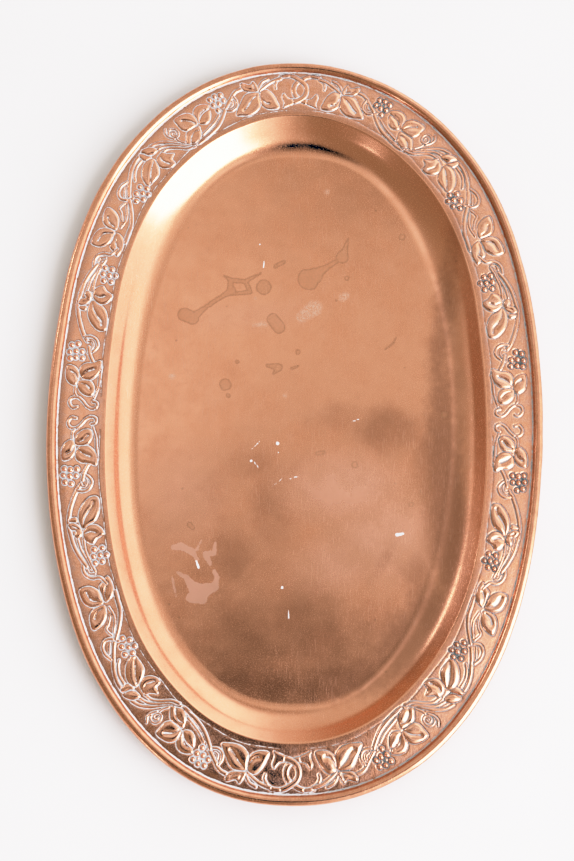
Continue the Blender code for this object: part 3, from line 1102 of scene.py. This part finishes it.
    graph.feed(shader.inputs["Base Color"], colour)
    metal = graph.math("SUBTRACT", 1.0, graph.times(covered, 0.92))
    graph.feed(shader.inputs["Metallic"], graph.math("SUBTRACT", metal, graph.times(film, 0.9)))
    gloss = graph.math("MULTIPLY_ADD", tone, 0.06, 0.17)
    gloss = graph.add(gloss, graph.times(tarnish, 0.10), graph.times(cloud, 0.04),
                      graph.times(bare, 0.10), graph.times(scratch, 0.08), graph.times(film, 0.15),
                      graph.times(haze, 0.07), graph.times(hazed, 0.22))
    rough = graph.add(gloss, graph.times(covered, 0.5), graph.times(graph.attribute("ground"), 0.03))
    graph.feed(shader.inputs["Roughness"], rough)

    height = graph.add(graph.times(scratch, -0.006), graph.times(residue, 0.05),
                       graph.times(grain, 0.006), graph.times(spot, -0.02), graph.times(speck, 0.06))
    bump = graph.node("Bump", {"Height": height, "Distance": MM, "Strength": BUMP_STRENGTH})
    graph.feed(shader.inputs["Normal"], bump.outputs["Normal"])
    return material


# Layers of scratches: seed, turn, length, width and threshold of the noise
SCRATCHES = [
    (3.0, 4.0, 9.0, 0.30, 0.66),
    (11.0, -12.0, 14.0, 0.35, 0.68),
    (23.0, 38.0, 8.0, 0.30, 0.69),
    (37.0, -50.0, 10.0, 0.30, 0.69),
    (51.0, 84.0, 7.0, 0.28, 0.70),
]


def wire_material():
    """Dull drawn steel with rust in patches."""
    material, graph, shader = new_material("drawn_steel")
    place = millimetres(graph)
    rust = graph.step(graph.noise(place, 0.12, 5.0, 0.65), 0.50, 0.66)
    drawn = graph.noise(place, 2.2, 2.0)
    steel = graph.colour(drawn, STEEL_DARK, STEEL)
    graph.feed(shader.inputs["Base Color"], graph.colour(rust, steel, RUST))
    graph.feed(shader.inputs["Metallic"], graph.math("SUBTRACT", 1.0, graph.times(rust, 0.8)))
    graph.feed(shader.inputs["Roughness"], graph.math("MULTIPLY_ADD", rust, 0.4, 0.4))
    height = graph.add(graph.times(drawn, 0.01), graph.times(rust, 0.04))
    bump = graph.node("Bump", {"Height": height, "Distance": MM, "Strength": BUMP_STRENGTH})
    graph.feed(shader.inputs["Normal"], bump.outputs["Normal"])
    return material


def floor_material():
    material, graph, shader = new_material("pale_floor")
    cloth = graph.noise(graph.node("TexCoord").outputs["Object"], 9.0, 3.0)
    pale = graph.colour(cloth, FLOOR_SHADE, FLOOR_LIGHT)
    graph.feed(shader.inputs["Base Color"], pale)
    shader.inputs["Roughness"].default_value = 0.9
    return material


# ---------------------------------------------------------------- stage

CAMERA_PITCH = -8.96
CAMERA_YAW = 1.93
CAMERA_ROLL = -0.71
CAMERA_OFFSET = (0.0057, 0.0084, -0.7316)      # of the rim's middle, seen from the camera
LENS = 50.0
FLOOR_REACH = 3.0
FLOOR_HEIGHT = -0.0002


def add_camera():
    turn = (Matrix.Rotation(math.radians(CAMERA_ROLL), 3, "Z")
            @ Matrix.Rotation(math.radians(CAMERA_PITCH), 3, "X")
            @ Matrix.Rotation(math.radians(CAMERA_YAW), 3, "Y")).transposed()
    data = bpy.data.cameras.new("camera")
    data.lens = LENS
    camera = bpy.data.objects.new("camera", data)
    middle = Vector((0, 0, WIRE_HEIGHT * MM))
    camera.matrix_world = Matrix.Translation(middle - turn @ Vector(CAMERA_OFFSET)) @ turn.to_4x4()
    bpy.context.scene.collection.objects.link(camera)
    bpy.context.scene.camera = camera


def add_floor():
    mesh = bpy.data.meshes.new("floor")
    corners = [(-1, -1), (1, -1), (1, 1), (-1, 1)]
    mesh.from_pydata([(x * FLOOR_REACH, y * FLOOR_REACH, 0) for x, y in corners], [], [(0, 1, 2, 3)])
    mesh.materials.append(floor_material())
    floor = bpy.data.objects.new("floor", mesh)
    floor.location.z = FLOOR_HEIGHT
    bpy.context.scene.collection.objects.link(floor)


def direction(azimuth, elevation):
    """Unit vector; azimuth 0 is +X and 90 is +Y."""
    a, e = math.radians(azimuth), math.radians(elevation)
    return Vector((math.cos(a) * math.cos(e), math.sin(a) * math.cos(e), math.sin(e)))


# Windows: (name, azimuth, half width, lowest and highest elevation, radiance), in degrees
WINDOWS = [
    ("window", -31, 23, 1, 60, 6.5),
    ("far_window", -129, 5, 9, 17, 9.0),
    ("side_window", 155, 7, 20, 25, 14.0),
]
WINDOW_DISTANCE = 2.5
WINDOW_COLOUR = (1.0, 0.97, 1.12)


def add_window(name, azimuth, half_width, low, high, radiance):
    """Soft upright rectangular light standing around the tray."""
    bottom, top = (WINDOW_DISTANCE * math.tan(math.radians(e)) for e in (low, high))
    data = bpy.data.lights.new(name, "AREA")
    data.shape = "RECTANGLE"
    data.color = WINDOW_COLOUR
    data.size = 2 * WINDOW_DISTANCE * math.tan(math.radians(half_width))
    data.size_y = top - bottom
    data.energy = radiance * math.pi * data.size * data.size_y
    light = bpy.data.objects.new(name, data)
    way = direction(azimuth, 0)
    light.location = way * WINDOW_DISTANCE + Vector((0, 0, (bottom + top) / 2))
    light.rotation_euler = way.to_track_quat("Z", "Y").to_euler()
    bpy.context.scene.collection.objects.link(light)


# The ceiling: patches as (tilt to +X, tilt to +Y, inner reach, outer reach, change),
# in degrees away from straight up
CEILING = 0.90
OVERHEAD = [
    (-1.5, -12.0, 9.0, 14.5, -0.80),
    (-2.0, -22.0, 9.0, 14.0, -0.50),
    (1.0, 3.5, 5.0, 9.0, -0.20),
    (-7.0, 16.0, 3.0, 9.0, 0.32),
    (-14.0, 12.0, 5.0, 12.0, 0.60),
    (6.0, 30.0, 8.0, 13.0, -0.60),
    (17.0, 20.0, 5.0, 9.0, -0.25),
    (9.5, 6.5, 2.0, 5.0, -0.30),
    (17.0, -3.0, 4.0, 8.5, 0.60),
]
DIM_SIDE = 0.38
FAR_SIDE = 0.42                # added towards +Y
LOW_LIGHT = 0.60               # share left near the horizon of the dim side
BRIGHT_SIDE = 1.20             # added towards +X
LIT_COLOUR = (1.0, 0.99, 0.95, 1)
DIM_COLOUR = (1.0, 0.84, 0.62, 1)
COOL_COLOUR = (0.99, 1.0, 1.10, 1)
BROWN_COLOUR = (1.0, 0.66, 0.42, 1)


def add_world():
    """Soft room light: bright walls to +X, dim to -X, and a patchy ceiling."""
    world = bpy.data.worlds.new("studio")
    bpy.context.scene.world = world
    world.use_nodes = True
    graph = Graph(world.node_tree)
    way = graph.vector("NORMALIZE", graph.node("TexCoord").outputs["Generated"])
    height = graph.node("SeparateXYZ", {"Vector": way}).outputs["Z"]
    level = graph.vector("NORMALIZE", graph.vector("MULTIPLY", way, (1, 1, 0)))
    across = graph.node("SeparateXYZ", {"Vector": level})
    walls = graph.add(graph.step(across.outputs["X"], -0.05, 0.45, 0.0, BRIGHT_SIDE),
                      graph.step(across.outputs["Y"], -0.3, 0.8, DIM_SIDE, DIM_SIDE + FAR_SIDE))
    ceiling = CEILING
    for tilt_x, tilt_y, inner, outer, change in OVERHEAD:
        patch = Vector((math.tan(math.radians(tilt_x)), math.tan(math.radians(tilt_y)), 1)).normalized()
        away = graph.vector("DISTANCE", way, tuple(patch))
        patch_light = graph.step(away, math.radians(inner), math.radians(outer), change, 0.0)
        ceiling = graph.math("ADD", ceiling, patch_light)
    lowest = graph.step(across.outputs["X"], -0.3, 0.3, 0.93, 0.72)
    highest = graph.step(across.outputs["X"], -0.3, 0.3, 0.985, 0.94)
    up = graph.step(height, lowest, highest)
    light = graph.node("Mix", {0: up, 2: walls, 3: ceiling}).outputs[0]
    background = world.node_tree.nodes["Background"]
    tint = graph.colour(graph.step(light, 0.3, 0.7), DIM_COLOUR, LIT_COLOUR)
    tint = graph.colour(graph.step(light, 0.95, 1.4), tint, COOL_COLOUR)
    low = graph.times(graph.step(height, 0.34, 0.12), graph.step(across.outputs["X"], 0.1, -0.4))
    tint = graph.colour(low, tint, BROWN_COLOUR)
    dimmed = graph.times(light, graph.step(low, 0, 1, 1.0, LOW_LIGHT))
    graph.feed(background.inputs["Color"], tint)
    graph.feed(background.inputs["Strength"], dimmed)


def add_lights():
    add_world()
    for window in WINDOWS:
        add_window(*window)


RESPONSE_KNEE = 0.6
RESPONSE_WHITE = 4.0


def develop():
    """A photographic response: bright tones roll off instead of clipping."""
    view = bpy.context.scene.view_settings
    view.view_transform = "Standard"
    view.use_curve_mapping = True
    mapping = view.curve_mapping
    mapping.white_level = (RESPONSE_WHITE,) * 3
    points = mapping.curves[3].points
    knee = RESPONSE_KNEE / RESPONSE_WHITE
    points[0].location = (0, 0)
    points[1].location = (1, 1)
    points.new(knee, RESPONSE_KNEE)
    for light in (0.3, 0.75, 0.95, 1.2, 1.5, 1.9, 2.5):
        rise = (1 - RESPONSE_KNEE) * (1 - math.exp((RESPONSE_KNEE - light) / (1 - RESPONSE_KNEE)))
        points.new(light / RESPONSE_WHITE, light if light < RESPONSE_KNEE else RESPONSE_KNEE + rise)
    mapping.update()


def add_piece(name, mesh, material, node):
    """A visible piece that rides on the body and stands in for a node of the frame."""
    piece = bpy.data.objects.new(name, mesh)
    bpy.context.scene.collection.objects.link(piece)
    mesh.materials.append(material)
    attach(piece, "root")
    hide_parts(node)


def main():
    relief = chased_border()
    add_piece("copper_pan", pan_mesh(relief), copper_material(), "tray_pan")
    add_piece("steel_hoop", wire_mesh(), wire_material(), "rim_wire")
    add_camera()
    add_floor()
    add_lights()
    develop()


main()
